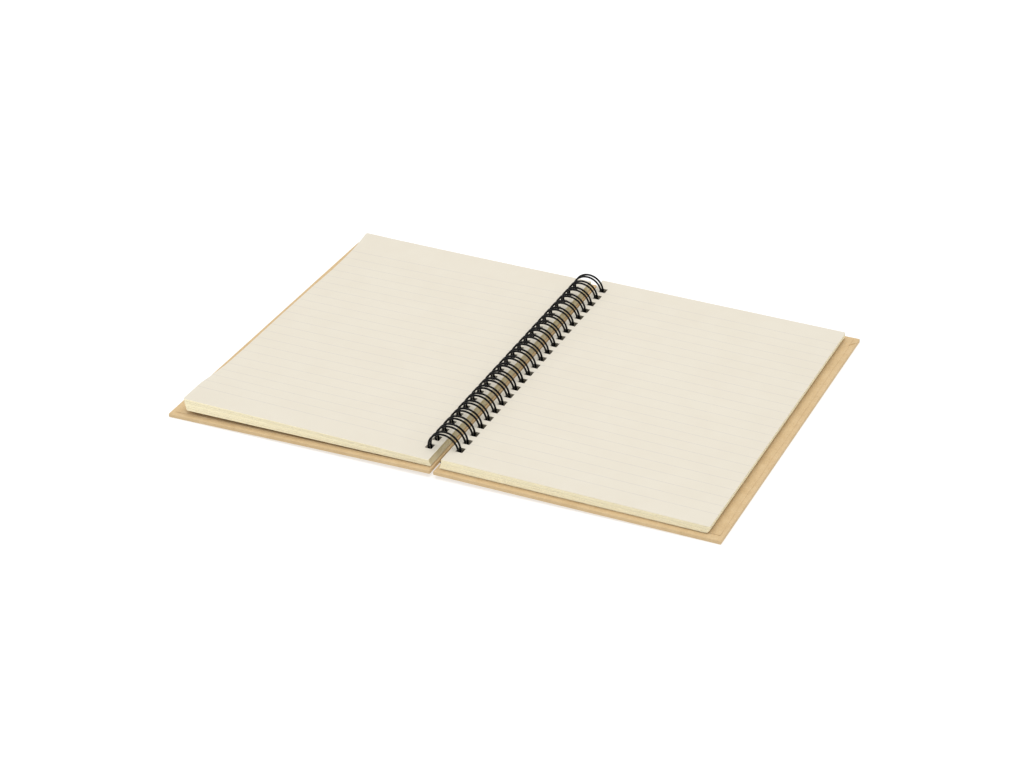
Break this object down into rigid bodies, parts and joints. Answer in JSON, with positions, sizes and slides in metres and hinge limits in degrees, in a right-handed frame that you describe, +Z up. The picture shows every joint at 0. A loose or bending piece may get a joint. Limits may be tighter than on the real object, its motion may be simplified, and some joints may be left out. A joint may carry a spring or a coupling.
{
  "type": "spiral notebook",
  "caption": "Hard-cover ruled notebook lying open flat, its kraft-wrapped boards and stacks of leaves turning on a black twin-loop wire along the spine.",
  "frame": {"origin": "on the table under the wire, halfway along the spine", "axes": "+X right across the open spread, +Y along the spine to the head of the pages, +Z up from the table"},
  "size_m": [0.319, 0.2172, 0.0184],
  "materials": {
    "coated_wire": "glossy black coating on steel wire",
    "grey_board": "raw grey board",
    "kraft_wrap": "matte natural kraft with fine fibres",
    "kraft_liner": "matte natural kraft with fine fibres",
    "ruled_leaves": "matte cream paper with faint ruled lines"
  },
  "bodies": {
    "binding": {"twin_loop_wire": "coated_wire"},
    "back_cover": {"back_cover_board": "grey_board", "back_cover_wrap": "kraft_wrap", "back_cover_liner": "kraft_liner"},
    "right_stack": {"right_pages": "ruled_leaves"},
    "front_cover": {"front_cover_board": "grey_board", "front_cover_wrap": "kraft_wrap", "front_cover_liner": "kraft_liner"},
    "left_stack": {"left_pages": "ruled_leaves"}
  },
  "joints": [
    {"name": "front_cover_turn", "type": "hinge", "parent": "binding", "child": "front_cover", "pos_m": [0, 0, 0.0092], "axis": [0, 1, 0], "range_deg": [0, 180]},
    {"name": "left_pages_turn", "type": "hinge", "parent": "front_cover", "child": "left_stack", "pos_m": [0, 0, 0.0092], "axis": [0, 1, 0], "range_deg": [0, 180]},
    {"name": "back_cover_turn", "type": "hinge", "parent": "binding", "child": "back_cover", "pos_m": [0, 0, 0.0092], "axis": [0, -1, 0], "range_deg": [0, 180]},
    {"name": "right_pages_turn", "type": "hinge", "parent": "back_cover", "child": "right_stack", "pos_m": [0, 0, 0.0092], "axis": [0, -1, 0], "range_deg": [0, 180]}
  ]
}
